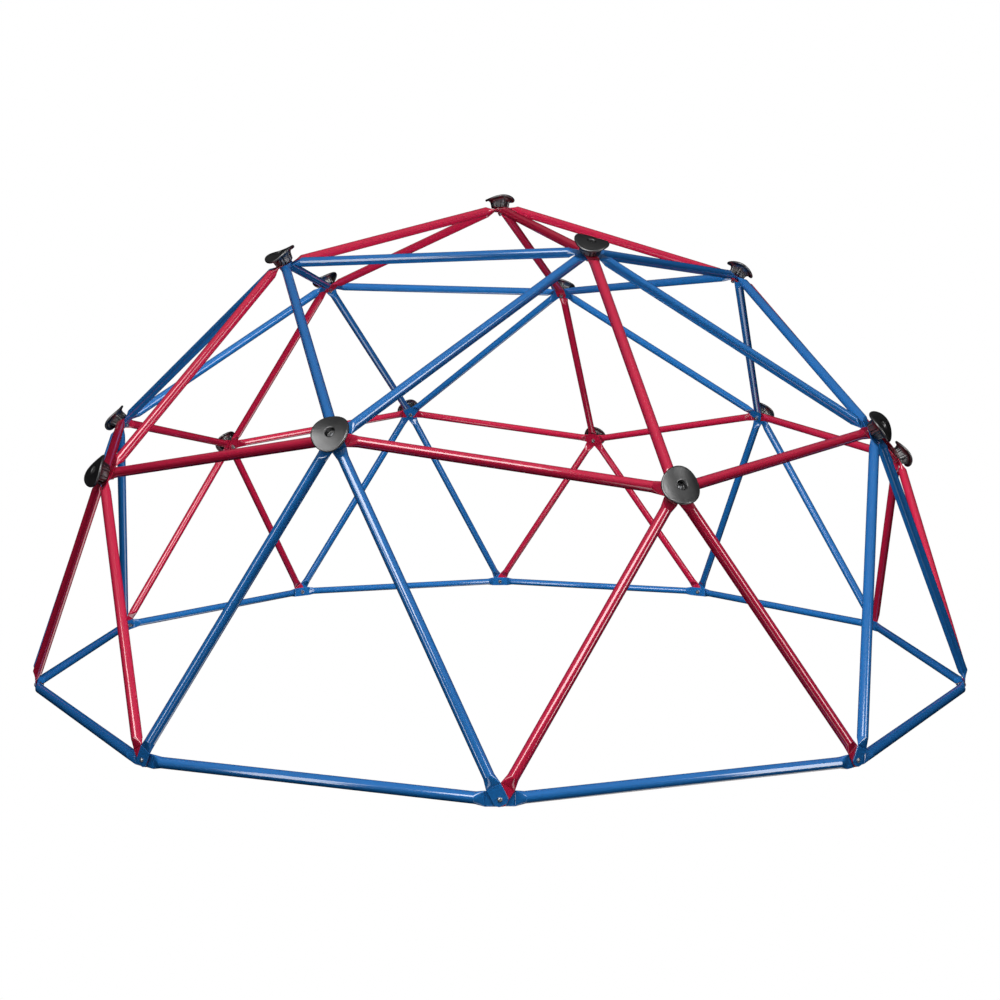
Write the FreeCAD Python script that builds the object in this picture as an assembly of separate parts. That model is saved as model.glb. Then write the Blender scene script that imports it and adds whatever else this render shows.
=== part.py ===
import FreeCAD, Part
import math
import os
from collections import namedtuple

# Dome climber: the upper half of a two-frequency icosahedral sphere, built from straight steel tubes.
# Every tube end is pressed flat, bent to lie square to the sphere's radius and stacked with its neighbours
# on one M8 bolt. Moulded hand-grip caps cover the 16 hubs above the ground.
# Millimetres and degrees. +Z is up, z = 0 is the ground, and the axis x = y = 0 passes through the top hub.

Vector = FreeCAD.Vector

# ---- driving dimensions ----
hub_radius = 1500.0        # centre of the sphere to the middle of every stack of tube ends
tube_diameter = 28.0
tube_wall = 1.2
plate_width = 37.0         # width of a pressed tube end
plate_gap = 0.05           # paint and fit clearance between two pressed ends
bend_from_hole = 33.5      # bolt hole to the bend between pressed end and tube
crush_length = 24.0        # bend to the first full round section
slit_from_bend = 1.0       # bend to the place where the hollow inside the tube closes to a slit
slit_height = 0.8
end_past_hole = 15.5       # bolt hole to the tip of the pressed end
shoulder_past_hole = 8.0   # bolt hole to the start of the clipped corners
tip_width = 19.0           # width left at the tip between the clipped corners
bolt_hole_diameter = 8.5

cap_diameter = 98.0        # across the two raised lobes
cap_crown = 36.5           # hub face to the middle of the cap's upper face
cap_lobe_rise = 3.0        # how far the two raised lobes stand above the middle
cap_side_drop = 10.5       # how far the rim hangs below the middle between the lobes
cap_thickness = 7.5
cap_rim_round = 3.2
boss_base_width = 52.0     # across the flats of the six-sided boss, at the hub
boss_top_width = 57.0      # across the flats where the boss meets the disc
boss_corner_round = 5.0
flare_bottom = 15.0        # hub face to the start of the flare under the disc
flare_top = 31.0
flare_diameter = 78.0      # flare at its top
recess_diameter = 24.0
recess_depth = 17.0
core_diameter = 42.0       # moulding cavity on the underside of the boss
core_post_diameter = 20.0  # post left round the bolt inside the cavity
core_depth = 14.0

bolt_diameter = 7.9
cap_bolt_length = 45.0
cap_bolt_head_diameter = 14.0
cap_bolt_head_height = 4.4
ground_bolt_length = 25.0
ground_bolt_head_diameter = 12.0
ground_bolt_head_height = 3.6
bolt_head_edge = 1.2       # straight rim below the dome of a bolt head
socket_width = 5.0         # across flats, in the cap bolts only
socket_depth = 2.6
washer_outer = 16.0
washer_inner = 8.4
washer_thickness = 1.6
nut_width = 13.0           # across flats
nut_height = 8.0
nut_collar_height = 1.8    # rounded collar that holds the locking ring
nut_collar_diameter = 11.0
nut_bore = 8.0

# ---- places in each stack, counted from the inside of the dome outwards ----
stack_size = {"apex": 5, "upper": 6, "five": 5, "six": 6, "ground": 4}
upper_spoke, upper_hoop_out, upper_hoop_in, upper_diagonal_left, upper_diagonal_right, upper_rib = range(6)
five_rib, five_hoop_left, five_hoop_right, five_leg_right, five_leg_left = range(5)
six_diagonal_left, six_diagonal_right, six_hoop_left, six_hoop_right, six_leg_left, six_leg_right = range(6)
ground_hoop_out, ground_hoop_in, ground_red_leg, ground_blue_leg = range(4)

# ---- how far each cap is turned about its bolt, from its lobes lying up and down the dome ----
apex_cap_turn = 110.0
upper_cap_turns = [84.0, 133.0, 42.0, 115.0, 56.0]
five_cap_turns = [105.0, 122.0, 70.0, 119.0, 7.0]
six_cap_turns = [112.0, 28.0, 56.0, 88.0, 110.0]

# ---- values that follow from them ----
plate_thickness = 2 * tube_wall
stack_pitch = plate_thickness + plate_gap
hub_height = plate_width / 2      # the ground hoop rests on the lower edges of its pressed ends
arms = range(5)                   # the dome has fivefold symmetry
turn = 2 * math.pi / len(arms)

Hub = namedtuple("Hub", "kind direction")
Frame = namedtuple("Frame", "origin along out side")


# ---- the net of hubs ----
def sphere_point(polar, azimuth):
    return Vector(math.sin(polar) * math.cos(azimuth), math.sin(polar) * math.sin(azimuth), math.cos(polar))


def midway(first, second):
    middle = first + second
    return middle.normalize()


pole = Vector(0, 0, 1)
ring_polar = math.atan(2)         # polar angle of an icosahedron's upper ring of corners
upper_ring = [sphere_point(ring_polar, turn * arm) for arm in arms]
lower_ring = [sphere_point(math.pi - ring_polar, turn * (arm + 0.5)) for arm in arms]

apex_hub = Hub("apex", pole)
upper_hubs = [Hub("upper", midway(pole, upper_ring[arm])) for arm in arms]
five_hubs = [Hub("five", upper_ring[arm]) for arm in arms]
six_hubs = [Hub("six", midway(upper_ring[arm], upper_ring[(arm + 1) % 5])) for arm in arms]
ground_hubs = []
for arm in arms:
    ground_hubs.append(Hub("ground", midway(upper_ring[arm], lower_ring[arm])))
    ground_hubs.append(Hub("ground", midway(lower_ring[arm], upper_ring[(arm + 1) % 5])))


def hub_centre(hub):
    return hub.direction * hub_radius + Vector(0, 0, hub_height)


def place_height(hub, place):
    """Distance of a pressed end's middle plane from the hub centre, measured outwards."""
    return (place - (stack_size[hub.kind] - 1) / 2) * stack_pitch


def stack_half(hub):
    return stack_size[hub.kind] * stack_pitch / 2


# ---- tubes ----
def rectangle(middle, across, normal, width, thickness):
    """Closed four-sided wire: across is the width's direction, normal the thickness's."""
    half_width = across * (width / 2)
    half_thick = normal * (thickness / 2)
    corners = [middle + half_width + half_thick,
               middle - half_width + half_thick,
               middle - half_width - half_thick,
               middle + half_width - half_thick]
    return Part.makePolygon(corners + corners[:1])


def round_section(middle, across, normal, radius):
    """Circle drawn as four quarter arcs that start where a rectangle's corners are."""
    def on_circle(angle):
        return middle + across * (radius * math.cos(angle)) + normal * (radius * math.sin(angle))

    quarter = math.pi / 2
    arcs = []
    for side in range(4):
        start = quarter * (side + 0.5)
        arcs.append(Part.Arc(on_circle(start), on_circle(start + quarter / 2), on_circle(start + quarter)))
    return Part.Wire([arc.toShape() for arc in arcs])


def end_frame(hub, other, place, side):
    """Frame of a pressed end: origin in the bolt hole, along the end towards the tube, out of the dome."""
    out = hub.direction
    along = out.cross(side)
    if along.dot(other.direction) < 0:
        along = along * -1
    return Frame(hub_centre(hub) + out * place_height(hub, place), along, out, side)


def pressed_end_wires(end, tube_along):
    """Wires of one end: tip, shoulder, and bend, whose plane halves the angle to the tube."""
    tip = end.origin - end.along * end_past_hole
    shoulder = end.origin - end.along * shoulder_past_hole
    bend = end.origin + end.along * bend_from_hole
    bend_normal = (end.along + tube_along).cross(end.side).normalize()
    slope = bend_normal.dot(end.out)
    bend_thickness = plate_thickness / abs(slope)
    bend_normal = bend_normal * math.copysign(1, slope)
    return [rectangle(tip, end.side, end.out, tip_width, plate_thickness),
            rectangle(shoulder, end.side, end.out, plate_width, plate_thickness),
            rectangle(bend, end.side, bend_normal, plate_width, bend_thickness)]


def with_flat_faces(loft):
    """The same solid with every face that lies in a plane stored as a plane, and level neighbours joined."""
    faces = []
    for face in loft.Faces:
        plane = face.findPlane()
        faces.append(Part.Face(plane, face.OuterWire) if plane else face)
    return Part.makeSolid(Part.makeShell(faces)).removeSplitter()


def bolt_hole(end):
    depth = 3 * plate_thickness
    return Part.makeCylinder(bolt_hole_diameter / 2, depth, end.origin - end.out * (depth / 2), end.out)


def tube(hub_a, place_a, hub_b, place_b):
    """One tube between two hubs: round and hollow in the middle, pressed flat and drilled at both ends."""
    side = hub_a.direction.cross(hub_b.direction).normalize()
    end_a = end_frame(hub_a, hub_b, place_a, side)
    end_b = end_frame(hub_b, hub_a, place_b, side)
    bend_a = end_a.origin + end_a.along * bend_from_hole
    bend_b = end_b.origin + end_b.along * bend_from_hole
    along = (bend_b - bend_a).normalize()
    out = side.cross(along)
    round_a = bend_a + along * crush_length
    round_b = bend_b - along * crush_length
    radius = tube_diameter / 2
    wires = pressed_end_wires(end_a, along)
    wires.append(round_section(round_a, side, out, radius))
    wires.append(round_section(round_b, side, out, radius))
    wires.extend(reversed(pressed_end_wires(end_b, along * -1)))
    body = with_flat_faces(Part.makeLoft(wires, True, True))
    slit_width = plate_width - 2 * tube_wall
    hollow_wires = [rectangle(bend_a + along * slit_from_bend, side, out, slit_width, slit_height),
                    round_section(round_a, side, out, radius - tube_wall),
                    round_section(round_b, side, out, radius - tube_wall),
                    rectangle(bend_b - along * slit_from_bend, side, out, slit_width, slit_height)]
    hollow = Part.makeLoft(hollow_wires, True, True)
    return body.cut(Part.makeCompound([bolt_hole(end_a), bolt_hole(end_b), hollow]))


# ---- solids built upright, then seated on a hub ----
def hexagon(width, height):
    """Six-sided wire, width across its flats, at the given height."""
    corner_radius = width / 2 / math.cos(math.pi / 6)
    corners = []
    for corner in range(6):
        angle = math.pi / 3 * corner
        corners.append(Vector(corner_radius * math.cos(angle), corner_radius * math.sin(angle), height))
    return Part.makePolygon(corners + corners[:1])


def hexagon_prism(width, bottom, height):
    return Part.Face(hexagon(width, bottom)).extrude(Vector(0, 0, height))


def cylinder(diameter, bottom, top):
    return Part.makeCylinder(diameter / 2, top - bottom, Vector(0, 0, bottom))


def seated(shape, hub, height, twist=0.0):
    """The shape with its +Z outwards on the hub's bolt and its +X down the dome, twisted about the bolt."""
    out = hub.direction
    sideways = Vector(0, 0, 1).cross(out)
    if sideways.Length < 0.5:
        sideways = Vector(0, 1, 0)
    sideways.normalize()
    down = sideways.cross(out)
    rotation = FreeCAD.Rotation(down, sideways, out, "ZXY")
    twisting = FreeCAD.Rotation(Vector(0, 0, 1), twist)
    placed = shape.copy()
    placed.Placement = FreeCAD.Placement(hub_centre(hub) + out * height, rotation.multiply(twisting))
    return placed


# ---- hand-grip caps ----
def saddle_height(x, y):
    """Height of the cap's upper face above the hub: raised along x, hanging along y."""
    rim = cap_diameter / 2
    return cap_crown + cap_lobe_rise * (x / rim) ** 2 - cap_side_drop * (y / rim) ** 2


def saddle_slab(lowered, thickness):
    """Slab below the cap's upper face, starting the given distance under it."""
    reach = 0.6 * cap_diameter
    steps = 9
    stations = [reach * (2 * step / (steps - 1) - 1) for step in range(steps)]
    surface = Part.BSplineSurface()
    surface.interpolate([[Vector(x, y, saddle_height(x, y) - lowered) for y in stations] for x in stations])
    return surface.toShape().extrude(Vector(0, 0, -thickness))


def is_on_rim(edge):
    """True for the edges that run round the disc, and false for its seams."""
    first, last = edge.ParameterRange
    points = [edge.valueAt(first + (last - first) * part / 4) for part in range(5)]
    heights = [point.z for point in points]
    radii = [math.hypot(point.x, point.y) for point in points]
    turning = max(point.distanceToPoint(points[0]) for point in points) > cap_thickness + 1
    return turning and min(radii) > cap_diameter / 2 - 0.1 and max(heights) > 0


def cap_body():
    """One cap with its seat at z = 0 and its raised lobes along x."""
    above = 2 * cap_crown
    disc = saddle_slab(0, cap_thickness).common(cylinder(cap_diameter, 0, above))
    disc = disc.makeFillet(cap_rim_round, [edge for edge in disc.Edges if is_on_rim(edge)])
    boss = Part.makeLoft([hexagon(boss_base_width, 0), hexagon(boss_top_width, cap_crown)], True, True)
    upright = [edge for edge in boss.Edges if abs(edge.tangentAt(edge.FirstParameter).z) > 0.5]
    boss = boss.makeFillet(boss_corner_round, upright)
    flare_height = flare_top - flare_bottom
    flare = Part.makeCone(boss_top_width / 2, flare_diameter / 2, flare_height, Vector(0, 0, flare_bottom))
    boss = boss.fuse(flare).common(saddle_slab(cap_thickness / 2, above))
    recess = cylinder(recess_diameter, cap_crown - recess_depth, above)
    bore = cylinder(bolt_hole_diameter, 0, above)
    core = cylinder(core_diameter, 0, core_depth).cut(cylinder(core_post_diameter, 0, core_depth))
    return disc.fuse(boss).cut(Part.makeCompound([recess, bore, core])).removeSplitter()


# ---- fasteners ----
def domed_bolt(length, head_diameter, head_height):
    """Bolt with the underside of its head at z = 0 and its shank below."""
    head_radius = head_diameter / 2
    crown = Vector(0, 0, head_height)
    shoulder = Vector(head_radius, 0, bolt_head_edge)
    dome_middle = Vector(0.6 * head_radius, 0, bolt_head_edge + 0.75 * (head_height - bolt_head_edge))
    foot = Vector(head_radius, 0, 0)
    neck = Vector(bolt_diameter / 2, 0, 0)
    end = Vector(bolt_diameter / 2, 0, -length)
    bottom = Vector(0, 0, -length)
    outline = [Part.Arc(crown, dome_middle, shoulder).toShape()]
    corners = [shoulder, foot, neck, end, bottom, crown]
    for start, stop in zip(corners[:-1], corners[1:]):
        outline.append(Part.makeLine(start, stop))
    return Part.Face(Part.Wire(outline)).revolve(Vector(0, 0, 0), Vector(0, 0, 1), 360)


def cap_bolt():
    bolt = domed_bolt(cap_bolt_length, cap_bolt_head_diameter, cap_bolt_head_height)
    socket = hexagon_prism(socket_width, cap_bolt_head_height - socket_depth, cap_bolt_head_height)
    return bolt.cut(socket)


def washer():
    """Washer with its upper face at z = 0."""
    return cylinder(washer_outer, -washer_thickness, 0).cut(cylinder(washer_inner, -washer_thickness, 0))


def lock_nut():
    """Lock nut with its upper face at z = 0 and its collar below."""
    body_height = nut_height - nut_collar_height
    nut = hexagon_prism(nut_width, -body_height, body_height)
    nut = nut.fuse(cylinder(nut_collar_diameter, -nut_height, -body_height))
    return nut.cut(cylinder(nut_bore, -nut_height, 0))


# ---- sub-parts ----
parts = {}


def add_single(name, arm, *ends):
    parts[f"{name}_{arm + 1}"] = tube(*ends)


def add_pair(name, arm, first_ends, second_ends):
    parts[f"{name}_{arm + 1}"] = Part.makeCompound([tube(*first_ends), tube(*second_ends)])


def add_tubes(arm):
    """All tubes of one fifth of the dome."""
    following = (arm + 1) % 5
    upper, five, six = upper_hubs[arm], five_hubs[arm], six_hubs[arm]
    next_upper, next_five = upper_hubs[following], five_hubs[following]
    ground_before, ground_right, ground_after = [ground_hubs[(2 * arm + step) % 10] for step in (-1, 0, 1)]
    add_single("apex_spoke", arm, apex_hub, len(arms) - 1 - arm, upper, upper_spoke)
    add_single("upper_hoop_tube", arm, upper, upper_hoop_out, next_upper, upper_hoop_in)
    add_single("upper_rib", arm, upper, upper_rib, five, five_rib)
    add_pair("upper_diagonal_pair", arm,
             (upper, upper_diagonal_right, six, six_diagonal_left),
             (next_upper, upper_diagonal_left, six, six_diagonal_right))
    add_pair("middle_hoop_pair", arm,
             (five, five_hoop_right, six, six_hoop_left),
             (six, six_hoop_right, next_five, five_hoop_left))
    add_pair("red_leg_pair", arm,
             (five, five_leg_left, ground_before, ground_red_leg),
             (five, five_leg_right, ground_right, ground_red_leg))
    add_pair("blue_leg_pair", arm,
             (six, six_leg_left, ground_right, ground_blue_leg),
             (six, six_leg_right, ground_after, ground_blue_leg))
    add_pair("base_hoop_pair", arm,
             (ground_before, ground_hoop_out, ground_right, ground_hoop_in),
             (ground_right, ground_hoop_out, ground_after, ground_hoop_in))


def add_caps():
    cap = cap_body()
    parts["apex_cap"] = seated(cap, apex_hub, stack_half(apex_hub), apex_cap_turn)
    for arm in arms:
        upper, five, six = upper_hubs[arm], five_hubs[arm], six_hubs[arm]
        parts[f"upper_cap_{arm + 1}"] = seated(cap, upper, stack_half(upper), upper_cap_turns[arm])
        parts[f"middle_cap_{2 * arm + 1}"] = seated(cap, five, stack_half(five), five_cap_turns[arm])
        parts[f"middle_cap_{2 * arm + 2}"] = seated(cap, six, stack_half(six), six_cap_turns[arm])


def add_fasteners():
    capped_hubs = [apex_hub] + upper_hubs + five_hubs + six_hubs
    all_hubs = capped_hubs + ground_hubs
    head_seat = cap_crown - recess_depth
    screw = cap_bolt()
    parts["cap_bolts"] = Part.makeCompound([seated(screw, hub, stack_half(hub) + head_seat)
                                            for hub in capped_hubs])
    stud = domed_bolt(ground_bolt_length, ground_bolt_head_diameter, ground_bolt_head_height)
    parts["base_bolts"] = Part.makeCompound([seated(stud, hub, stack_half(hub)) for hub in ground_hubs])
    ring = washer()
    parts["washers"] = Part.makeCompound([seated(ring, hub, -stack_half(hub)) for hub in all_hubs])
    nut = lock_nut()
    parts["lock_nuts"] = Part.makeCompound([seated(nut, hub, -stack_half(hub) - washer_thickness)
                                            for hub in all_hubs])


for arm in arms:
    add_tubes(arm)
add_caps()
add_fasteners()

os.makedirs("parts", exist_ok=True)
for name, shape in parts.items():
    shape.exportStep(f"parts/{name}.step")
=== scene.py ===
import math
from collections import namedtuple

import bpy
import numpy as np
from mathutils import Matrix, Vector


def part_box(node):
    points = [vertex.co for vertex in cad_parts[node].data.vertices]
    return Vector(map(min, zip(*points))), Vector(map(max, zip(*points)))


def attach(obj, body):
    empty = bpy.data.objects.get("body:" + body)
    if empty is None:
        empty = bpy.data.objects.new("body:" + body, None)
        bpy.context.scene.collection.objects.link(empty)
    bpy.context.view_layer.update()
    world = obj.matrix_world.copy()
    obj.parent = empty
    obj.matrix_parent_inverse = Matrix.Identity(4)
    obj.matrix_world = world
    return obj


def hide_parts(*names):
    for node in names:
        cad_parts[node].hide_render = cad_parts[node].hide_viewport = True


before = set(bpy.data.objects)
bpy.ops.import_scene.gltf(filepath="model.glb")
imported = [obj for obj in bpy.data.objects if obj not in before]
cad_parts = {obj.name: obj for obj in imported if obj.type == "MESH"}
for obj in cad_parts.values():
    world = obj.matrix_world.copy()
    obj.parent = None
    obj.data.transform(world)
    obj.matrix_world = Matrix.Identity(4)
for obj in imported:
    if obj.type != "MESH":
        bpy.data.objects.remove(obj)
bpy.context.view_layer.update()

# Looks of a dome climber: powder-coated steel tubes with pressed flat ends, stacked and bolted at the hubs of
# half a two-frequency icosahedral sphere, and moulded hand-grip caps on the hubs above the ground.
# Metres and degrees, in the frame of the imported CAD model.

# ---- sizes of the tubes ----
HUB_RADIUS = 1.5            # middle of the base to the middle of every stack of ends
HUB_HEIGHT = sum(corner.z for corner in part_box("base_hoop_pair_1")) / 2     # of the ground hubs' middles
TUBE_RADIUS = 0.014
PLATE_HALF_WIDTH = 0.0185
PLATE_THICKNESS = 0.0024
PLATE_EDGE = 0.0003
STACK_PITCH = 0.00245
BEND_FROM_HOLE = 0.0335
BEND_REACH = 0.0025         # the curve of the bend starts and ends this far from its corner
CRUSH_LENGTH = 0.024
EASE_SHARE = 0.07           # share of the crushed length that each rounded end of its ramp takes
END_PAST_HOLE = 0.0155
SHOULDER_PAST_HOLE = 0.008
TIP_HALF_WIDTH = 0.0095
BOLT_HOLE_RADIUS = 0.00425
DRILL_REACH = 3 * PLATE_THICKNESS

# ---- sizes of the caps ----
CAP_RADIUS = 0.049
CAP_CROWN = 0.0365          # hub face to the middle of the upper face
CAP_LOBE_RISE = 0.003
CAP_SIDE_DROP = 0.0105
CAP_THICKNESS = 0.0075
CAP_RIM_ROUND = 0.0037
BOSS_BASE_HALF_WIDTH = 0.026
BOSS_TOP_HALF_WIDTH = 0.0285
BOSS_CORNER_ROUND = 0.006
FLARE_RADIUS = 0.039        # where the flare on top of the boss meets the underside of the disc
FLARE_BOTTOM = 0.015
FLARE_CORNER_OUT = 0.002    # the flare bends round a point this far outside the boss
FLARE_CORNER_DOWN = 0.003   # and this far below the disc
RECESS_RADIUS = 0.012
RECESS_DEPTH = 0.017
RECESS_FLOOR_ROUND = 0.001
RECESS_LIP_ROUND = 0.0025
CAP_HOLE_EDGE = 0.0005
CORE_RADIUS = 0.021
CORE_POST_RADIUS = 0.010
CORE_DEPTH = 0.014
CORE_EDGE = 0.0008

# ---- sizes of the fasteners ----
BOLT_RADIUS = 0.00395
CAP_BOLT_LENGTH = 0.045
CAP_BOLT_HEAD_RADIUS = 0.007
CAP_BOLT_HEAD_HEIGHT = 0.0044
CAP_BOLT_TURN = 20.0
GROUND_BOLT_LENGTH = 0.025
GROUND_BOLT_HEAD_RADIUS = 0.006
GROUND_BOLT_HEAD_HEIGHT = 0.0036
BOLT_HEAD_EDGE = 0.0012     # height of the upright edge round a bolt head
BOLT_EDGE = 0.0003
BOLT_END_CHAMFER = 0.0006
HEAD_DOME_POWER = 2.6       # the higher, the flatter the middle of a domed head
HEAD_MIDDLE_SHARE = 0.12    # the innermost ring of a head without a socket, as a share of its radius
SOCKET_HALF_WIDTH = 0.0025
SOCKET_DEPTH = 0.0026
SOCKET_FLOOR_SHARE = 0.9    # a ring just inside the socket's wall, as a share of its width
SOCKET_CORNER_SHARE = 0.05  # rounding of the socket's corners, as a share of its width
THREAD_PITCH = 0.00125
THREAD_DEPTH = 0.0006
THREAD_LENGTH = 0.020
WASHER_OUTER = 0.008
WASHER_INNER = 0.0042
WASHER_THICKNESS = 0.0016
NUT_HALF_WIDTH = 0.0065
NUT_HEIGHT = 0.008
NUT_COLLAR_HEIGHT = 0.0018
NUT_COLLAR_RADIUS = 0.0055
NUT_BORE_RADIUS = 0.004
NUT_TURN = 12.0             # each lock nut is turned this much further than the one before it
FINE_EDGE = 0.0002

# ---- mesh fineness ----
TUBE_SIDES = 48             # points round a tube, in four equal quarters
CAP_SIDES = 120
ROUND_SIDES = 48
BEND_STEPS = 6
CRUSH_SHARES = (0.2, 0.4, 0.6, 0.8, 0.92, 0.95, 0.975, 1.0)     # where the crushed length has its rings
RECESS_FLOOR_STEPS = 4
RECESS_LIP_STEPS = 6
FACE_STEPS = 14
RIM_STEPS = 12
UNDERSIDE_STEPS = 5
FLARE_STEPS = 8
BOSS_STEPS = 4
HEAD_DOME_STEPS = 8
THREAD_STEPS = 6            # rings to one turn of the thread
SMOOTH_BELOW = math.radians(32)

# ---- the five equal fifths of the dome, and how many tube ends are stacked on each kind of hub ----
ARMS = range(5)
ARM_TURN = 2 * math.pi / len(ARMS)
STACK_SIZE = {"apex": 5, "upper": 6, "five": 5, "six": 6, "ground": 4}

# ---- how far each cap is turned about its bolt, from its lobes lying up and down the dome ----
APEX_CAP_TURN = 110.0
UPPER_CAP_TURNS = [84.0, 133.0, 42.0, 115.0, 56.0]
FIVE_CAP_TURNS = [105.0, 122.0, 70.0, 119.0, 7.0]
SIX_CAP_TURNS = [112.0, 28.0, 56.0, 88.0, 110.0]

# ---- colours ----
# each paint's second, darker tone is used for small dark specks and as painted shade where a tube is seen
# edge on
RED = (0.68, 0.015, 0.068)
RED_SPECK_AND_EDGE_SHADE = (0.07, 0.001, 0.005)
BLUE = (0.016, 0.186, 0.56)
BLUE_SPECK_AND_EDGE_SHADE = (0.002, 0.012, 0.05)
BLACK_NYLON = (0.006, 0.006, 0.0065)
CLOUDED_NYLON = (0.011, 0.011, 0.0115)
BRIGHT_ZINC = (0.68, 0.69, 0.71)
DULL_ZINC = (0.46, 0.47, 0.49)
BLACK = (0.0, 0.0, 0.0, 1.0)
WHITE = (1.0, 1.0, 1.0, 1.0)

# ---- light and camera ----
DOME_MIDDLE = Vector((0.0, 0.0, 0.7))
PANEL_DISTANCE = 9.0
INNER_FILL_PLACE = (0.0, -0.4, 0.35)
INNER_FILL_RADIUS = 0.35
INNER_FILL_POWER = 44.0
SKY_ABOVE = 1.05
SKY_BELOW = 0.02
HORIZON_BLUR = 0.15
FLOOR_REACH = 400.0
CAMERA_TARGET = Vector((0.0, 0.0, 0.5455))
CAMERA_AZIMUTH = 0.0
CAMERA_ELEVATION = 5.53
CAMERA_DISTANCE = 4.181
CAMERA_LENS = 44.05
CAMERA_SENSOR = 36.0
CAMERA_CLIP_END = 200.0

Hub = namedtuple("Hub", "kind direction")
TubeRow = namedtuple("TubeRow", "name node paint hub_a place_a hub_b place_b")


# ---- the net of hubs ----
def sphere_point(polar, azimuth):
    return Vector((math.sin(polar) * math.cos(azimuth), math.sin(polar) * math.sin(azimuth), math.cos(polar)))


def midway(first, second):
    return (first + second).normalized()


def next_arm(arm):
    return (arm + 1) % len(ARMS)


POLE = Vector((0, 0, 1))
RING_POLAR = math.atan(2)
UPPER_RING = [sphere_point(RING_POLAR, ARM_TURN * arm) for arm in ARMS]
LOWER_RING = [sphere_point(math.pi - RING_POLAR, ARM_TURN * (arm + 0.5)) for arm in ARMS]

APEX_HUB = Hub("apex", POLE)
UPPER_HUBS = [Hub("upper", midway(POLE, UPPER_RING[arm])) for arm in ARMS]
FIVE_HUBS = [Hub("five", UPPER_RING[arm]) for arm in ARMS]
SIX_HUBS = [Hub("six", midway(UPPER_RING[arm], UPPER_RING[next_arm(arm)])) for arm in ARMS]
GROUND_HUBS = []
for arm in ARMS:
    GROUND_HUBS.append(Hub("ground", midway(UPPER_RING[arm], LOWER_RING[arm])))
    GROUND_HUBS.append(Hub("ground", midway(LOWER_RING[arm], UPPER_RING[next_arm(arm)])))


def hub_centre(hub):
    return hub.direction * HUB_RADIUS + Vector((0, 0, HUB_HEIGHT))


def stack_half(hub):
    return STACK_SIZE[hub.kind] * STACK_PITCH / 2


def seat_matrix(hub, height, turn=0.0):
    """Frame on a hub's bolt axis: +Z out of the dome, +X down the dome, turned about the bolt."""
    out = hub.direction
    sideways = Vector((0, 1, 0)) if hub is APEX_HUB else POLE.cross(out).normalized()
    down = sideways.cross(out)
    axes = Matrix((down, sideways, out)).transposed().to_4x4()
    place = Matrix.Translation(hub_centre(hub) + out * height)
    return place @ axes @ Matrix.Rotation(math.radians(turn), 4, "Z")


# ---- mesh helpers ----
def even_shares(steps):
    """Evenly spaced shares of a way, from 0 to 1."""
    return [step / steps for step in range(steps + 1)]


def curve_point(start, corner, stop, share):
    """Point on the curve from start to stop that a corner between them pulls towards itself."""
    return start * (1 - share) ** 2 + corner * 2 * share * (1 - share) + stop * share ** 2


def hexagon_radius(angle, half_width, corner_round):
    """Distance from the middle to a rounded hexagon's edge, in the given direction."""
    sixth = math.pi / 3
    folded = abs((angle + sixth / 2) % sixth - sixth / 2)
    flat_angle = sixth / 2 - folded
    sharp = half_width / math.cos(flat_angle)
    corner_middle = (half_width - corner_round) / math.cos(sixth / 2)
    along = corner_middle * math.cos(folded)
    across = corner_middle * math.sin(folded)
    if across >= corner_round:
        return sharp
    rounded = along + math.sqrt(corner_round ** 2 - across ** 2)
    return min(sharp, rounded)


def loft_faces(ring_count, around, closed):
    """Quads between neighbouring rings; closed also joins the last ring to the first."""
    faces = []
    spans = ring_count if closed else ring_count - 1
    for ring in range(spans):
        start = ring * around
        following = ((ring + 1) % ring_count) * around
        for step in range(around):
            after = (step + 1) % around
            faces.append((start + step, start + after, following + after, following + step))
    return faces


def closed_loft(rings):
    """Points and faces of a solid through a row of rings, with a flat face over each end."""
    around = len(rings[0])
    last = (len(rings) - 1) * around
    faces = loft_faces(len(rings), around, False)
    faces.append(tuple(reversed(range(around))))
    faces.append(tuple(range(last, last + around)))
    return sum(rings, []), faces


def ring_shape(profile, sides):
    """Points and faces of a ring round the Z axis; profile gives its closed outline at each angle."""
    rings = []
    for step in range(sides):
        angle = 2 * math.pi * step / sides
        rings.append([(radius * math.cos(angle), radius * math.sin(angle), height)
                      for radius, height in profile(angle)])
    return sum(rings, []), loft_faces(sides, len(rings[0]), True)


def spun_shape(rows, radius_at):
    """Points and faces of a shape closed on the Z axis at both ends; rows are (radius, height) pairs."""
    points = [(0, 0, rows[0][1])]
    for radius, height in rows[1:-1]:
        for step in range(ROUND_SIDES):
            angle = 2 * math.pi * step / ROUND_SIDES
            reach = radius_at(angle, radius, height)
            points.append((reach * math.cos(angle), reach * math.sin(angle), height))
    points.append((0, 0, rows[-1][1]))
    faces = [(0, 1 + (step + 1) % ROUND_SIDES, 1 + step) for step in range(ROUND_SIDES)]
    for face in loft_faces(len(rows) - 2, ROUND_SIDES, False):
        faces.append(tuple(1 + index for index in face))
    last = 1 + (len(rows) - 3) * ROUND_SIDES
    for step in range(ROUND_SIDES):
        faces.append((last + step, last + (step + 1) % ROUND_SIDES, len(points) - 1))
    return points, faces


def mesh_from(name, points, faces):
    mesh = bpy.data.meshes.new(name)
    mesh.from_pydata([tuple(point) for point in points], [], faces)
    mesh.validate()
    mesh.update()
    return mesh


def smooth(mesh):
    mesh.shade_smooth()
    mesh.set_sharp_from_angle(angle=SMOOTH_BELOW)


def put(name, data):
    """Adds an object that shows a mesh, lamp or camera to the scene."""
    thing = bpy.data.objects.new(name, data)
    bpy.context.scene.collection.objects.link(thing)
    return thing


def paint(mesh, material):
    mesh.materials.clear()
    mesh.materials.append(material)


def add_piece(name, mesh, material, node):
    """Adds a piece of the dome in place of a node of the CAD model; everything rides on the one body."""
    paint(mesh, material)
    piece = put(name, mesh)
    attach(piece, "root")
    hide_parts(node)


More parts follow.
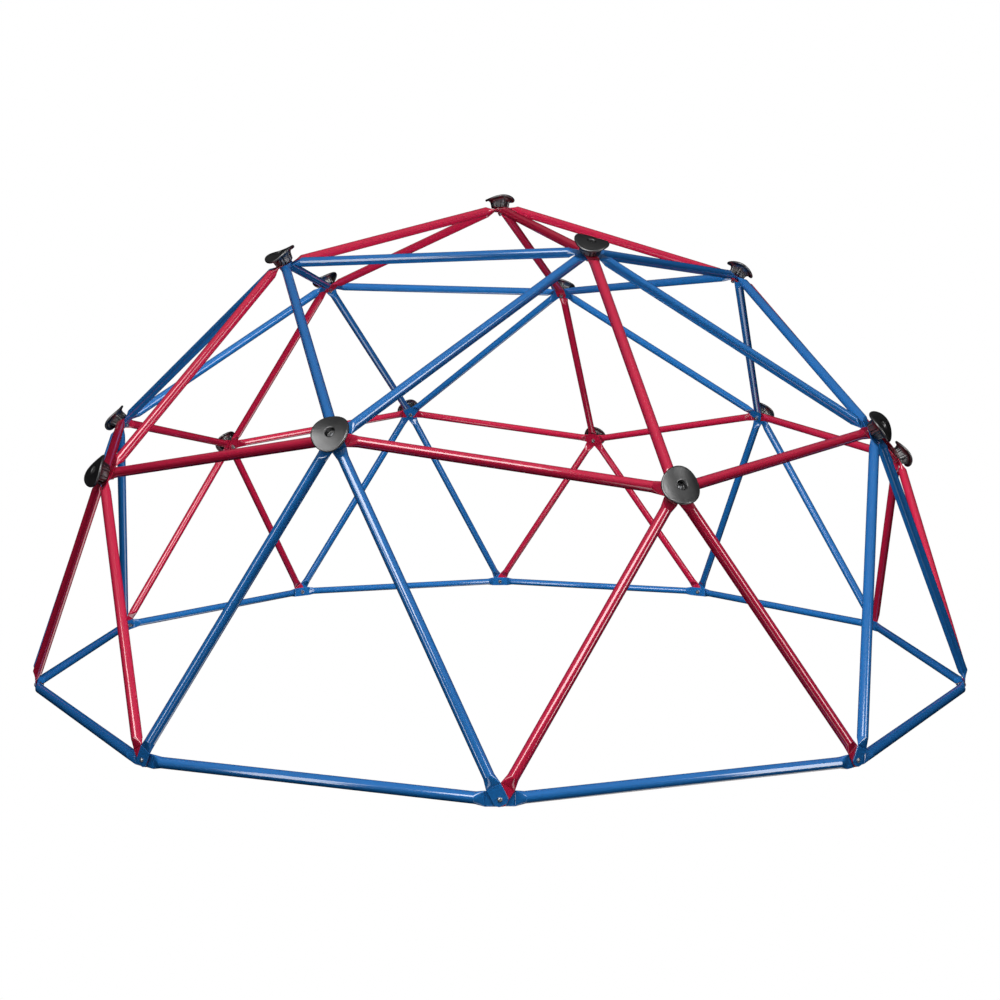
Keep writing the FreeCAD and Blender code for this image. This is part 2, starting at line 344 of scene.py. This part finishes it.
# ---- tubes ----
def eased(share):
    """Straight ramp from 0 to 1 with softly rounded ends."""
    slope = 1 / (1 - EASE_SHARE)
    if share < EASE_SHARE:
        return slope * share ** 2 / (2 * EASE_SHARE)
    if share > 1 - EASE_SHARE:
        return 1 - slope * (1 - share) ** 2 / (2 * EASE_SHARE)
    return slope * (share - EASE_SHARE / 2)


def section(half_width, half_thick, roundness):
    """Points round a tube: 0 is a pressed end with folded edges, 1 is the full circle."""
    points = []
    quarter = TUBE_SIDES // 4
    straight = half_width - half_thick
    for side in range(4):
        sign = 1 if side in (0, 1) else -1
        for step in range(quarter):
            share = step / quarter
            angle = math.pi / 2 * (side + 0.5 + share)
            if side % 2 == 0:
                flat = (sign * straight * (1 - 2 * share), sign * half_thick)
            else:
                fold = math.pi * (share + 0.5)
                flat = (sign * (-straight + half_thick * math.cos(fold)), sign * half_thick * math.sin(fold))
            full = (TUBE_RADIUS * math.cos(angle), TUBE_RADIUS * math.sin(angle))
            points.append([flat[axis] * (1 - roundness) + full[axis] * roundness for axis in (0, 1)])
    return points


def tip_stations():
    """Distance past the hole, half width and half thickness, from the tip to behind the clipped corners."""
    half_thick = PLATE_THICKNESS / 2
    slope = (PLATE_HALF_WIDTH - TIP_HALF_WIDTH) / (END_PAST_HOLE - SHOULDER_PAST_HOLE)
    stations = [(END_PAST_HOLE, TIP_HALF_WIDTH - 4 * PLATE_EDGE, half_thick - PLATE_EDGE),
                (END_PAST_HOLE - PLATE_EDGE, TIP_HALF_WIDTH - PLATE_EDGE, half_thick),
                (END_PAST_HOLE - 3 * PLATE_EDGE, TIP_HALF_WIDTH + 2.5 * PLATE_EDGE * slope, half_thick)]
    shoulder_round = 3 * PLATE_EDGE
    for share in (1.0, 0.5, 0.0):
        past = SHOULDER_PAST_HOLE + (2 * share - 1) * shoulder_round
        stations.append((past, PLATE_HALF_WIDTH - share * shoulder_round * slope, half_thick))
    return stations


def end_rings(hole, along, out, tube_along, tube_out, side):
    """Rings of one end, from the tip over the bend to the first full round section."""
    rings = []

    def add(middle, up, roundness, half_width=PLATE_HALF_WIDTH, half_thick=PLATE_THICKNESS / 2):
        rings.append([middle + side * x + up * y for x, y in section(half_width, half_thick, roundness)])

    for past, half_width, half_thick in tip_stations():
        add(hole - along * past, out, 0, half_width, half_thick)
    add(hole + along * BEND_FROM_HOLE / 2, out, 0)
    bend = hole + along * BEND_FROM_HOLE
    before = bend - along * BEND_REACH
    after = bend + tube_along * BEND_REACH
    for share in even_shares(BEND_STEPS):
        middle = curve_point(before, bend, after, share)
        up = (out * (1 - share) + tube_out * share).normalized()
        crushed = max(0.0, (middle - bend).dot(tube_along)) / CRUSH_LENGTH
        add(middle, up, eased(crushed))
    for share in CRUSH_SHARES:
        add(bend + tube_along * CRUSH_LENGTH * share, tube_out, eased(share))
    return rings


def end_axes(hub, other, place, side):
    """Middle of the bolt hole in a pressed end, and the end's direction towards the tube."""
    out = hub.direction
    along = out.cross(side).normalized()
    if along.dot(other.direction) < 0:
        along.negate()
    level = (place - (STACK_SIZE[hub.kind] - 1) / 2) * STACK_PITCH
    return hub_centre(hub) + out * level, along


def drill_mesh(middle, axis):
    """Round rod that cuts one bolt hole."""
    across = axis.orthogonal().normalized()
    upright = axis.cross(across)
    angles = [2 * math.pi * step / ROUND_SIDES for step in range(ROUND_SIDES)]
    rings = []
    for reach in (-DRILL_REACH, DRILL_REACH):
        rings.append([middle + axis * reach + across * BOLT_HOLE_RADIUS * math.cos(angle)
                      + upright * BOLT_HOLE_RADIUS * math.sin(angle) for angle in angles])
    return mesh_from("drill", *closed_loft(rings))


def drilled(mesh, holes):
    """The mesh with its bolt holes cut, each a (middle, axis) pair."""
    body = put("body", mesh)
    drills = []
    for middle, axis in holes:
        drill = put("drill", drill_mesh(middle, axis))
        cut = body.modifiers.new("hole", "BOOLEAN")
        cut.object = drill
        cut.operation = "DIFFERENCE"
        cut.solver = "EXACT"
        drills.append(drill)
    bpy.context.view_layer.update()
    result = bpy.data.meshes.new_from_object(body.evaluated_get(bpy.context.evaluated_depsgraph_get()))
    for finished in drills + [body]:
        bpy.data.objects.remove(finished)
    return result


def tube_mesh(row):
    side = row.hub_a.direction.cross(row.hub_b.direction).normalized()
    hole_a, along_a = end_axes(row.hub_a, row.hub_b, row.place_a, side)
    hole_b, along_b = end_axes(row.hub_b, row.hub_a, row.place_b, side)
    bend_a = hole_a + along_a * BEND_FROM_HOLE
    bend_b = hole_b + along_b * BEND_FROM_HOLE
    along = (bend_b - bend_a).normalized()
    out = side.cross(along)
    rings = end_rings(hole_a, along_a, row.hub_a.direction, along, out, side)
    rings += reversed(end_rings(hole_b, along_b, row.hub_b.direction, -along, out, side))
    blank = mesh_from("blank", *closed_loft(rings))
    mesh = drilled(blank, [(hole_a, row.hub_a.direction), (hole_b, row.hub_b.direction)])
    mesh.name = row.name
    smooth(mesh)
    return mesh


def tube_rows(arm):
    """Every tube of one fifth of the dome; a place counts up from the innermost end in a hub's stack."""
    number = arm + 1
    upper, five, six = UPPER_HUBS[arm], FIVE_HUBS[arm], SIX_HUBS[arm]
    next_upper, next_five = UPPER_HUBS[next_arm(arm)], FIVE_HUBS[next_arm(arm)]
    before, right, after = [GROUND_HUBS[(2 * arm + step) % len(GROUND_HUBS)] for step in (-1, 0, 1)]
    rows = [
        ("spoke", "apex_spoke", "red", APEX_HUB, len(ARMS) - number, upper, 0),
        ("upper_hoop", "upper_hoop_tube", "blue", upper, 1, next_upper, 2),
        ("rib", "upper_rib", "red", upper, 5, five, 0),
        ("diagonal_left", "upper_diagonal_pair", "blue", upper, 4, six, 0),
        ("diagonal_right", "upper_diagonal_pair", "blue", next_upper, 3, six, 1),
        ("middle_hoop_left", "middle_hoop_pair", "red", five, 2, six, 2),
        ("middle_hoop_right", "middle_hoop_pair", "red", six, 3, next_five, 1),
        ("red_leg_left", "red_leg_pair", "red", five, 4, before, 2),
        ("red_leg_right", "red_leg_pair", "red", five, 3, right, 2),
        ("blue_leg_left", "blue_leg_pair", "blue", six, 4, right, 3),
        ("blue_leg_right", "blue_leg_pair", "blue", six, 5, after, 3),
        ("base_hoop_left", "base_hoop_pair", "blue", before, 0, right, 1),
        ("base_hoop_right", "base_hoop_pair", "blue", right, 0, after, 1),
    ]
    return [TubeRow(f"{name}_{number}", f"{node}_{number}", *rest) for name, node, *rest in rows]


def add_tubes(paints):
    for arm in ARMS:
        for row in tube_rows(arm):
            add_piece(row.name, tube_mesh(row), paints[row.paint], row.node)


# ---- hand-grip caps ----
def cap_height(radius, angle):
    """Height of the cap's upper face above the hub: raised along x, hanging along y."""
    x = radius * math.cos(angle) / CAP_RADIUS
    y = radius * math.sin(angle) / CAP_RADIUS
    return CAP_CROWN + CAP_LOBE_RISE * x ** 2 - CAP_SIDE_DROP * y ** 2


def recess_outline(angle):
    """Bolt hole, floor and wall of the recess, and the lip that rounds over onto the disc."""
    floor = CAP_CROWN - RECESS_DEPTH
    outline = [(BOLT_HOLE_RADIUS, CAP_HOLE_EDGE), (BOLT_HOLE_RADIUS, floor - CAP_HOLE_EDGE),
               (BOLT_HOLE_RADIUS + CAP_HOLE_EDGE, floor)]
    for share in even_shares(RECESS_FLOOR_STEPS):
        bend = math.pi / 2 * share
        outline.append((RECESS_RADIUS - RECESS_FLOOR_ROUND * (1 - math.sin(bend)),
                        floor + RECESS_FLOOR_ROUND * (1 - math.cos(bend))))
    lip_height = cap_height(RECESS_RADIUS + RECESS_LIP_ROUND, angle)
    for share in even_shares(RECESS_LIP_STEPS)[1:]:
        bend = math.pi / 2 * share
        outline.append((RECESS_RADIUS + RECESS_LIP_ROUND * (1 - math.cos(bend)),
                        lip_height - RECESS_LIP_ROUND * (1 - math.sin(bend))))
    return outline


def disc_outline(angle):
    """Upper face of the disc, its rounded rim, and its underside in to the flare."""
    outline = []
    face_start = RECESS_RADIUS + RECESS_LIP_ROUND
    rim_start = CAP_RADIUS - CAP_RIM_ROUND
    for share in even_shares(FACE_STEPS)[1:]:
        radius = face_start + (rim_start - face_start) * share
        outline.append((radius, cap_height(radius, angle)))
    rim_middle = cap_height(rim_start, angle) - CAP_THICKNESS / 2
    for share in even_shares(RIM_STEPS)[1:-1]:
        bend = math.pi * share
        outline.append((rim_start + CAP_RIM_ROUND * math.sin(bend),
                        rim_middle + CAP_THICKNESS / 2 * math.cos(bend)))
    for share in even_shares(UNDERSIDE_STEPS):
        radius = rim_start + (FLARE_RADIUS - rim_start) * share
        outline.append((radius, cap_height(radius, angle) - CAP_THICKNESS))
    return outline


def boss_outline(angle):
    """Flare under the disc, six-sided wall of the boss, and the cored hollow in its foot."""
    shelf = cap_height(FLARE_RADIUS, angle) - CAP_THICKNESS
    top = hexagon_radius(angle, BOSS_TOP_HALF_WIDTH, BOSS_CORNER_ROUND)
    base = hexagon_radius(angle, BOSS_BASE_HALF_WIDTH, BOSS_CORNER_ROUND)
    outline = []
    for share in even_shares(FLARE_STEPS)[1:]:
        outline.append((curve_point(FLARE_RADIUS, top + FLARE_CORNER_OUT, top, share),
                        curve_point(shelf, shelf - FLARE_CORNER_DOWN, FLARE_BOTTOM, share)))
    for share in even_shares(BOSS_STEPS)[1:-1]:
        outline.append((top + (base - top) * share, FLARE_BOTTOM * (1 - share)))
    edge = CORE_EDGE
    return outline + [
        (base, edge), (base - edge, 0.0), (CORE_RADIUS + edge, 0.0), (CORE_RADIUS, edge),
        (CORE_RADIUS, CORE_DEPTH - edge), (CORE_RADIUS - edge, CORE_DEPTH),
        (CORE_POST_RADIUS + edge, CORE_DEPTH), (CORE_POST_RADIUS, CORE_DEPTH - edge),
        (CORE_POST_RADIUS, edge), (CORE_POST_RADIUS - edge, 0.0), (BOLT_HOLE_RADIUS + CAP_HOLE_EDGE, 0.0)]


def cap_profile(angle):
    """Closed outline of the cap's section at one angle, as (radius, height) pairs."""
    return recess_outline(angle) + disc_outline(angle) + boss_outline(angle)


def cap_seats():
    """Name, CAD node, hub and turn of every cap."""
    seats = [("apex", "apex_cap", APEX_HUB, APEX_CAP_TURN)]
    for arm in ARMS:
        number = arm + 1
        seats += [
            (f"upper_{number}", f"upper_cap_{number}", UPPER_HUBS[arm], UPPER_CAP_TURNS[arm]),
            (f"five_way_{number}", f"middle_cap_{2 * number - 1}", FIVE_HUBS[arm], FIVE_CAP_TURNS[arm]),
            (f"six_way_{number}", f"middle_cap_{2 * number}", SIX_HUBS[arm], SIX_CAP_TURNS[arm])]
    return seats


def add_caps(plastic):
    pattern = mesh_from("hand_grip", *ring_shape(cap_profile, CAP_SIDES))
    smooth(pattern)
    for name, node, hub, turn in cap_seats():
        mesh = pattern.copy()
        mesh.transform(seat_matrix(hub, stack_half(hub), turn))
        add_piece(f"{name}_hand_grip", mesh, plastic, node)
    bpy.data.meshes.remove(pattern)


# ---- fasteners ----
def head_rows(head_radius, head_height, socket):
    """Rows of a domed bolt head from the middle of its top, over its edge, in to the shank."""
    if socket:
        floor = head_height - SOCKET_DEPTH
        rows = [(0, floor), (SOCKET_HALF_WIDTH * SOCKET_FLOOR_SHARE, floor), (SOCKET_HALF_WIDTH, floor),
                (SOCKET_HALF_WIDTH, head_height - 2 * FINE_EDGE),
                (SOCKET_HALF_WIDTH + BOLT_EDGE, head_height - FINE_EDGE)]
        dome_start = SOCKET_HALF_WIDTH + 4 * FINE_EDGE
    else:
        rows = [(0, head_height)]
        dome_start = head_radius * HEAD_MIDDLE_SHARE
    for share in even_shares(HEAD_DOME_STEPS):
        radius = dome_start + (head_radius - FINE_EDGE - dome_start) * share
        fall = (radius / head_radius) ** HEAD_DOME_POWER
        rows.append((radius, head_height - (head_height - BOLT_HEAD_EDGE) * fall))
    return rows + [
        (head_radius, BOLT_HEAD_EDGE - BOLT_EDGE), (head_radius, BOLT_EDGE), (head_radius - BOLT_EDGE, 0.0),
        (BOLT_RADIUS + 2 * FINE_EDGE, 0.0), (BOLT_RADIUS, -2 * FINE_EDGE)]


def bolt_shape(length, head_radius, head_height, socket):
    """Domed bolt with the underside of its head at z = 0; its thread is cut into the end of the shank."""
    thread_start = THREAD_LENGTH - length
    rows = head_rows(head_radius, head_height, socket)
    for share in even_shares(int(THREAD_LENGTH / THREAD_PITCH * THREAD_STEPS)):
        rows.append((BOLT_RADIUS, thread_start - (THREAD_LENGTH - BOLT_END_CHAMFER) * share))
    rows += [(BOLT_RADIUS - BOLT_END_CHAMFER, -length), (0, -length)]

    def radius_at(angle, radius, height):
        if socket and radius <= SOCKET_HALF_WIDTH and height > 0:
            return hexagon_radius(angle, radius, radius * SOCKET_CORNER_SHARE)
        if radius == BOLT_RADIUS and height < thread_start:
            turned = (height / THREAD_PITCH + angle / (2 * math.pi)) % 1.0
            return radius - THREAD_DEPTH * abs(2 * turned - 1)
        return radius

    return spun_shape(rows, radius_at)


def washer_shape():
    """Washer with its upper face at z = 0."""
    edge = FINE_EDGE
    outline = [(WASHER_INNER, -edge), (WASHER_INNER + edge, 0), (WASHER_OUTER - edge, 0),
               (WASHER_OUTER, -edge), (WASHER_OUTER, edge - WASHER_THICKNESS),
               (WASHER_OUTER - edge, -WASHER_THICKNESS),
               (WASHER_INNER + edge, -WASHER_THICKNESS), (WASHER_INNER, edge - WASHER_THICKNESS)]
    return ring_shape(lambda angle: outline, ROUND_SIDES)


def nut_shape():
    """Lock nut with its upper face at z = 0 and its rounded collar below."""
    edge = FINE_EDGE
    hex_bottom = NUT_COLLAR_HEIGHT - NUT_HEIGHT
    chamfer = NUT_HALF_WIDTH / math.cos(math.pi / 6) - NUT_HALF_WIDTH
    heights = [0.0, -chamfer * 0.3, -chamfer * 0.6, hex_bottom + chamfer * 0.6, hex_bottom + chamfer * 0.3,
               hex_bottom]
    collar_and_bore = [
        (NUT_COLLAR_RADIUS, hex_bottom), (NUT_COLLAR_RADIUS, 2.5 * edge - NUT_HEIGHT),
        (NUT_COLLAR_RADIUS - edge, edge - NUT_HEIGHT), (NUT_COLLAR_RADIUS - 3 * edge, -NUT_HEIGHT),
        (NUT_BORE_RADIUS + 2 * edge, -NUT_HEIGHT), (NUT_BORE_RADIUS, 2 * edge - NUT_HEIGHT),
        (NUT_BORE_RADIUS, -2 * edge)]

    def profile(angle):
        face = hexagon_radius(angle, NUT_HALF_WIDTH, 2 * edge)
        outline = [(NUT_BORE_RADIUS + 2 * edge, 0.0)]
        for height in heights:
            from_end = min(-height, height - hex_bottom)
            cone = NUT_HALF_WIDTH - edge + from_end * math.sqrt(3)
            outline.append((min(face, cone), height))
        return outline + collar_and_bore

    return ring_shape(profile, ROUND_SIDES)


def add_fastener_group(name, node, seats, shape, steel):
    """One piece for a whole set of the same fastener, one on each seat."""
    points, faces = shape
    local = np.array(points)
    every_point = []
    every_face = []
    for seat in seats:
        start = len(every_point)
        turned = local @ np.array(seat.to_3x3()).T + np.array(seat.translation)
        every_point += turned.tolist()
        every_face += [tuple(start + index for index in face) for face in faces]
    mesh = mesh_from(name, every_point, every_face)
    smooth(mesh)
    add_piece(name, mesh, steel, node)


def add_fasteners(steel):
    capped = [APEX_HUB] + UPPER_HUBS + FIVE_HUBS + SIX_HUBS
    every_hub = capped + GROUND_HUBS
    recess_floor = CAP_CROWN - RECESS_DEPTH
    cap_bolt = bolt_shape(CAP_BOLT_LENGTH, CAP_BOLT_HEAD_RADIUS, CAP_BOLT_HEAD_HEIGHT, True)
    ground_bolt = bolt_shape(GROUND_BOLT_LENGTH, GROUND_BOLT_HEAD_RADIUS, GROUND_BOLT_HEAD_HEIGHT, False)
    cap_bolt_seats = [seat_matrix(hub, stack_half(hub) + recess_floor, CAP_BOLT_TURN) for hub in capped]
    ground_bolt_seats = [seat_matrix(hub, stack_half(hub)) for hub in GROUND_HUBS]
    washer_seats = [seat_matrix(hub, -stack_half(hub)) for hub in every_hub]
    nut_seats = [seat_matrix(hub, -stack_half(hub) - WASHER_THICKNESS, NUT_TURN * place)
                 for place, hub in enumerate(every_hub)]
    add_fastener_group("grip_screws", "cap_bolts", cap_bolt_seats, cap_bolt, steel)
    add_fastener_group("ground_hub_bolts", "base_bolts", ground_bolt_seats, ground_bolt, steel)
    add_fastener_group("inner_washers", "washers", washer_seats, washer_shape(), steel)
    add_fastener_group("inner_lock_nuts", "lock_nuts", nut_seats, nut_shape(), steel)


# ---- materials ----
class Nodes:
    """Small helper that adds shader nodes to one material and links them by name."""

    def __init__(self, name):
        self.material = bpy.data.materials.new(name)
        self.material.use_nodes = True
        self.tree = self.material.node_tree
        self.shader = self.tree.nodes["Principled BSDF"]
        self.place = self.add("ShaderNodeTexCoord").outputs["Object"]

    def add(self, kind, **values):
        node = self.tree.nodes.new(kind)
        for name, value in values.items():
            setattr(node, name, value)
        return node

    def feed(self, source, node, socket):
        self.tree.links.new(source, node.inputs[socket])

    def drive(self, source, socket):
        """Drives one input of the surface shader."""
        self.feed(source, self.shader, socket)

    def noise(self, scale, detail, roughness=0.5):
        node = self.add("ShaderNodeTexNoise")
        self.feed(self.place, node, "Vector")
        node.inputs["Scale"].default_value = scale
        node.inputs["Detail"].default_value = detail
        node.inputs["Roughness"].default_value = roughness
        return node.outputs["Fac"]

    def slant(self):
        """0 where a surface faces the viewer, 1 where it is seen edge on."""
        return self.add("ShaderNodeLayerWeight").outputs["Facing"]

    def spread(self, source, low, high, start=0.3, stop=0.7):
        """Maps a 0 to 1 value from start..stop onto low..high."""
        node = self.add("ShaderNodeMapRange")
        self.feed(source, node, "Value")
        node.inputs["From Min"].default_value = start
        node.inputs["From Max"].default_value = stop
        node.inputs["To Min"].default_value = low
        node.inputs["To Max"].default_value = high
        return node.outputs["Result"]

    def mix_colour(self, factor, first, second):
        """Mix of two colours, by the colour sockets of a Mix node: 6 and 7 are its inputs, 2 its result."""
        node = self.add("ShaderNodeMix", data_type="RGBA")
        self.feed(factor, node, 0)
        for socket, colour in ((6, first), (7, second)):
            if isinstance(colour, tuple):
                node.inputs[socket].default_value = (*colour, 1.0)
            else:
                self.feed(colour, node, socket)
        return node.outputs[2]

    def bump(self, height, distance, strength, previous=None):
        node = self.add("ShaderNodeBump")
        self.feed(height, node, "Height")
        node.inputs["Distance"].default_value = distance
        node.inputs["Strength"].default_value = strength
        if previous is not None:
            self.feed(previous, node, "Normal")
        return node.outputs["Normal"]

    def set(self, **values):
        for name, value in values.items():
            self.shader.inputs[name.replace("_", " ")].default_value = value


def powder_coat(name, colour, speck_and_edge_shade_colour):
    """Gloss powder coat: orange-peel surface, slight colour drift, small dark specks, and painted shade that
    darkens the colour where the tube is seen at a slant.
    """
    nodes = Nodes(name)
    drift = nodes.spread(nodes.noise(scale=5.0, detail=4.0), 0.0, 1.0)
    speck = nodes.spread(nodes.noise(scale=900.0, detail=2.0), 0.0, 0.04, start=0.55, stop=0.75)
    darker_colour = tuple(0.9 * value for value in colour)
    base = nodes.mix_colour(drift, colour, darker_colour)
    base = nodes.mix_colour(speck, base, speck_and_edge_shade_colour)
    # painted shade: the colour turns to the darker tone where the tube is seen edge on, standing in for the
    # shading of its sides
    slant = nodes.spread(nodes.slant(), 0.0, 0.62, start=0.10, stop=0.80)
    nodes.drive(nodes.mix_colour(slant, base, speck_and_edge_shade_colour), "Base Color")
    haze = nodes.noise(scale=30.0, detail=5.0, roughness=0.6)
    nodes.drive(nodes.spread(haze, 0.30, 0.42), "Roughness")
    peel = nodes.bump(nodes.noise(scale=420.0, detail=2.0), distance=0.0004, strength=0.01)
    grain = nodes.bump(nodes.noise(scale=2600.0, detail=1.0), distance=0.0001, strength=0.01, previous=peel)
    nodes.drive(grain, "Normal")
    nodes.set(Coat_Weight=0.85, Coat_Roughness=0.10, Coat_IOR=2.28, Specular_IOR_Level=0.08)
    return nodes.material


def moulded_plastic(name):
    """Black nylon with a fine grain and faint flow clouds; the grain hides the sheen at a slant."""
    nodes = Nodes(name)
    cloud = nodes.spread(nodes.noise(scale=45.0, detail=4.0), 0.0, 1.0)
    nodes.drive(nodes.mix_colour(cloud, BLACK_NYLON, CLOUDED_NYLON), "Base Color")
    nodes.drive(nodes.spread(nodes.noise(scale=70.0, detail=4.0), 0.36, 0.44), "Roughness")
    grain = nodes.bump(nodes.noise(scale=1500.0, detail=2.0), distance=0.0002, strength=0.02)
    nodes.drive(grain, "Normal")
    nodes.drive(nodes.spread(nodes.slant(), 1.0, 0.12, start=0.18, stop=0.60), "Specular IOR Level")
    nodes.set(IOR=2.1, Coat_Weight=0.15, Coat_Roughness=0.12, Coat_IOR=1.5)
    return nodes.material


def zinc_plate(name):
    """Bright zinc-plated steel with cloudy colour and roughness and a fine grain."""
    nodes = Nodes(name)
    cloud = nodes.spread(nodes.noise(scale=260.0, detail=4.0), 0.0, 1.0)
    nodes.drive(nodes.mix_colour(cloud, BRIGHT_ZINC, DULL_ZINC), "Base Color")
    haze = nodes.noise(scale=500.0, detail=5.0, roughness=0.6)
    nodes.drive(nodes.spread(haze, 0.34, 0.50), "Roughness")
    nodes.drive(nodes.bump(nodes.noise(scale=3000.0, detail=2.0), distance=0.0001, strength=0.2), "Normal")
    nodes.set(Metallic=1.0)
    return nodes.material


def studio_paper(name):
    """Evenly lit white paper: it gives off its own tone, so it looks the same near and far."""
    nodes = Nodes(name)
    nodes.set(Base_Color=BLACK, Roughness=1.0, Specular_IOR_Level=0.0)
    nodes.set(Emission_Color=WHITE, Emission_Strength=1.0)
    return nodes.material


# ---- stage, light and camera ----
def add_floor():
    reach = FLOOR_REACH
    corners = [(-reach, -reach, 0), (reach, -reach, 0), (reach, reach, 0), (-reach, reach, 0)]
    mesh = mesh_from("floor", corners, [(0, 1, 2, 3)])
    paint(mesh, studio_paper("pale_floor"))
    floor = put("floor", mesh)
    floor.visible_diffuse = False
    floor.visible_glossy = False
    floor.visible_shadow = False


def direction_to(azimuth, elevation):
    """Unit vector from the dome towards a lamp or camera; azimuth 0 is the -Y side, growing to the right."""
    turn = math.radians(azimuth)
    rise = math.radians(elevation)
    return Vector((math.sin(turn) * math.cos(rise), -math.cos(turn) * math.cos(rise), math.sin(rise)))


def aim(thing, target, azimuth, elevation, distance):
    """Puts a lamp or camera at a distance from its target, turned to face it."""
    towards = direction_to(azimuth, elevation)
    thing.location = target + towards * distance
    thing.rotation_euler = towards.to_track_quat("Z", "Y").to_euler()


def add_panel(name, azimuth, elevation, width, height, radiance):
    """Rectangular lamp aimed at the dome; width and height are the angles it fills, in degrees."""
    data = bpy.data.lights.new(name, "AREA")
    data.shape = "RECTANGLE"
    data.size = 2 * PANEL_DISTANCE * math.tan(math.radians(width / 2))
    data.size_y = 2 * PANEL_DISTANCE * math.tan(math.radians(height / 2))
    data.energy = radiance * math.pi * data.size * data.size_y
    lamp = put(name, data)
    aim(lamp, DOME_MIDDLE, azimuth, elevation, PANEL_DISTANCE)
    return lamp


def add_reflection_panels():
    """Panels that only show as reflections: they draw the fine highlights along the gloss tubes."""
    panels = [("front_softbox", -16.0, 31.0, 32.0, 24.0, 4.8),
              ("left_strip", -42.0, -1.0, 9.0, 42.0, 3.2),
              ("right_strip", 50.0, 4.0, 12.0, 46.0, 4.0),
              ("low_strip", 0.0, -43.0, 8.0, 36.0, 1.1),
              ("low_back_panel", 130.0, -62.0, 36.0, 24.0, 1.4),
              ("overhead_panel", 0.0, 86.0, 110.0, 110.0, 0.10)]
    for name, azimuth, elevation, width, height, radiance in panels:
        panel = add_panel(name, azimuth, elevation, width, height, radiance)
        panel.visible_diffuse = False


def add_fills():
    """Two lamps that leave no highlight: one high above the front, one low down inside the dome."""
    top = add_panel("top_fill", azimuth=0.0, elevation=66.0, width=24.0, height=24.0, radiance=9.0)
    top.visible_glossy = False
    data = bpy.data.lights.new("inner_fill", "POINT")
    data.shadow_soft_size = INNER_FILL_RADIUS
    data.energy = INNER_FILL_POWER
    inner = put("inner_fill", data)
    inner.location = INNER_FILL_PLACE
    inner.visible_glossy = False
    inner.visible_camera = False


def add_world():
    """White to the camera; to the object a soft sky, light above and dark below, that leaves no highlight."""
    world = bpy.data.worlds.new("studio")
    world.use_nodes = True
    tree = world.node_tree
    background = tree.nodes["Background"]
    background.inputs["Color"].default_value = WHITE
    sky = tree.nodes.new("ShaderNodeBackground")
    place = tree.nodes.new("ShaderNodeTexCoord")
    split = tree.nodes.new("ShaderNodeSeparateXYZ")
    ramp = tree.nodes.new("ShaderNodeMapRange")
    path = tree.nodes.new("ShaderNodeLightPath")
    mix = tree.nodes.new("ShaderNodeMixShader")
    ramp.inputs["From Min"].default_value = -HORIZON_BLUR
    ramp.inputs["From Max"].default_value = HORIZON_BLUR
    ramp.inputs["To Min"].default_value = SKY_BELOW
    ramp.inputs["To Max"].default_value = SKY_ABOVE
    tree.links.new(place.outputs["Generated"], split.inputs[0])
    tree.links.new(split.outputs["Z"], ramp.inputs["Value"])
    tree.links.new(ramp.outputs["Result"], sky.inputs["Strength"])
    tree.links.new(path.outputs["Is Camera Ray"], mix.inputs["Fac"])
    tree.links.new(sky.outputs["Background"], mix.inputs[1])
    tree.links.new(background.outputs["Background"], mix.inputs[2])
    tree.links.new(mix.outputs["Shader"], tree.nodes["World Output"].inputs["Surface"])
    world.cycles_visibility.glossy = False
    bpy.context.scene.world = world


def add_camera():
    data = bpy.data.cameras.new("camera")
    data.sensor_width = CAMERA_SENSOR
    data.lens = CAMERA_LENS
    data.clip_end = CAMERA_CLIP_END
    camera = put("camera", data)
    aim(camera, CAMERA_TARGET, CAMERA_AZIMUTH, CAMERA_ELEVATION, CAMERA_DISTANCE)
    bpy.context.scene.camera = camera


def add_studio():
    add_floor()
    add_reflection_panels()
    add_fills()
    add_world()
    add_camera()
    bpy.context.scene.view_settings.view_transform = "Standard"


add_tubes({"red": powder_coat("red_powder_coat", RED, RED_SPECK_AND_EDGE_SHADE),
           "blue": powder_coat("blue_powder_coat", BLUE, BLUE_SPECK_AND_EDGE_SHADE)})
add_caps(moulded_plastic("black_moulded_plastic"))
add_fasteners(zinc_plate("zinc_plated_steel"))
add_studio()
